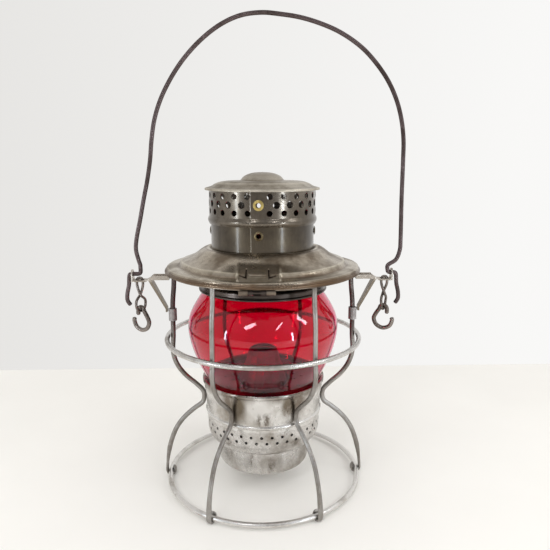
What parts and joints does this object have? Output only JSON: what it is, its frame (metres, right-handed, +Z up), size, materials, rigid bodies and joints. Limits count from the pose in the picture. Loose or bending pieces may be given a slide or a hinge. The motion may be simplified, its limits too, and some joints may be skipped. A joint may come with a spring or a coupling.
{
  "type": "railroad lantern",
  "caption": "Hand-held kerosene signal lantern with wire guard, red globe, hinged perforated lid, drop-out fount and swinging wire bail.",
  "frame": {"origin": "on the table under the middle of the base ring", "axes": "+Z up, the front with the lid hinge faces -Y, the bail stands in the X-Z plane"},
  "size_m": [0.225, 0.1675, 0.3765],
  "materials": {
    "frame_tin": "worn tin plate, bright with grey and brown smudges",
    "hood_tin": "dull weathered tin, warm grey-brown",
    "chimney_tin": "heat-darkened tin, satin",
    "blued_steel": "heat-blackened steel",
    "dark_wire": "dark brown patina on steel wire",
    "brass": "dull old brass",
    "red_glass": "clear deep red pressed glass",
    "cotton": "woven cotton wick, charred at the top",
    "cork": "cork washer"
  },
  "bodies": {
    "guard_frame": {"guard_wire_right": "frame_tin", "guard_wire_back_right": "frame_tin", "guard_wire_back_left": "frame_tin", "guard_wire_left": "frame_tin", "guard_wire_front_left": "frame_tin", "guard_wire_front_right": "frame_tin", "base_ring": "frame_tin", "guard_hoop": "frame_tin", "top_frame_ring": "frame_tin", "ear_right": "hood_tin", "ear_left": "hood_tin", "strut_clip_right": "hood_tin", "strut_clip_left": "hood_tin", "burner_housing": "frame_tin", "air_band": "frame_tin", "globe_seat": "blued_steel", "globe": "red_glass", "lid_hinge_lug": "hood_tin", "lid_hinge_pin": "frame_tin", "latch_keeper": "frame_tin"},
    "lid": {"lid_hood": "hood_tin", "chimney_collar": "chimney_tin", "chimney_vent_band": "chimney_tin", "vent_eyelet": "brass", "collar_eyelet_front": "brass", "collar_eyelet_right": "brass", "collar_eyelet_back": "brass", "collar_eyelet_left": "brass", "chimney_cap": "hood_tin", "globe_holder": "blued_steel", "lid_hinge_strap_left": "hood_tin", "lid_hinge_strap_right": "hood_tin", "latch_bracket": "hood_tin", "latch_pin": "frame_tin"},
    "latch": {"lid_latch": "hood_tin"},
    "bail": {"bail": "dark_wire"},
    "link_right": {"link_right": "dark_wire"},
    "link_left": {"link_left": "dark_wire"},
    "hook_right": {"hook_right": "dark_wire"},
    "hook_left": {"hook_left": "dark_wire"},
    "fount": {"fount": "frame_tin", "fount_top": "frame_tin", "filler_gasket": "cork", "burner_base": "brass", "burner_gallery": "brass", "burner_dome": "blued_steel", "wick_tube": "brass"},
    "filler_cap": {"filler_cap": "brass"},
    "wick_raiser": {"wick_spindle": "brass", "wick_knob": "brass"},
    "wick": {"wick": "cotton"}
  },
  "joints": [
    {"name": "lid_hinge", "type": "hinge", "parent": "guard_frame", "child": "lid", "pos_m": [-0.0045, -0.0776, 0.17845], "axis": [1, 0, 0], "range_deg": [0, 105]},
    {"name": "latch_swing", "type": "hinge", "parent": "lid", "child": "latch", "pos_m": [0, 0.0819, 0.1844], "axis": [1, 0, 0], "range_deg": [0, 25], "stiffness_Nm_per_rad": 0.05, "springref_deg": -5.73},
    {"name": "bail_swing", "type": "hinge", "parent": "guard_frame", "child": "bail", "pos_m": [0, 0, 0.1773], "axis": [1, 0, 0], "range_deg": [-110, 110]},
    {"name": "link_right_swing", "type": "hinge", "parent": "guard_frame", "child": "link_right", "pos_m": [0.0996, 0, 0.174], "axis": [1, 0, 0], "range_deg": [-30, 30]},
    {"name": "link_left_swing", "type": "hinge", "parent": "guard_frame", "child": "link_left", "pos_m": [-0.0996, 0, 0.174], "axis": [1, 0, 0], "range_deg": [-30, 30]},
    {"name": "hook_right_swing", "type": "hinge", "parent": "link_right", "child": "hook_right", "pos_m": [0.0996, 0, 0.1465], "axis": [0.5, 0.866, 0], "range_deg": [-35, 35]},
    {"name": "hook_left_swing", "type": "hinge", "parent": "link_left", "child": "hook_left", "pos_m": [-0.0996, 0, 0.1465], "axis": [0.5, 0.866, 0], "range_deg": [-35, 35]},
    {"name": "fount_twist", "type": "hinge", "parent": "guard_frame", "child": "fount", "pos_m": [0, 0, 0.04], "axis": [0, 0, 1], "range_deg": [-30, 0]},
    {"name": "filler_cap_turn", "type": "hinge", "parent": "fount", "child": "filler_cap", "pos_m": [0, 0.025, 0.06], "axis": [0, 0, 1], "range_deg": [0, 180]},
    {"name": "wick_turn", "type": "hinge", "parent": "fount", "child": "wick_raiser", "pos_m": [0, -0.004, 0.0736], "axis": [1, 0, 0], "range_deg": [-90, 90]},
    {"name": "wick_slide", "type": "slide", "parent": "fount", "child": "wick", "axis": [0, 0, 1], "range_m": [-0.0045, 0.0045]}
  ],
  "couplings": [
    {"joint": "wick_slide", "follows": "wick_turn", "m_per_rad": 0.0026}
  ]
}
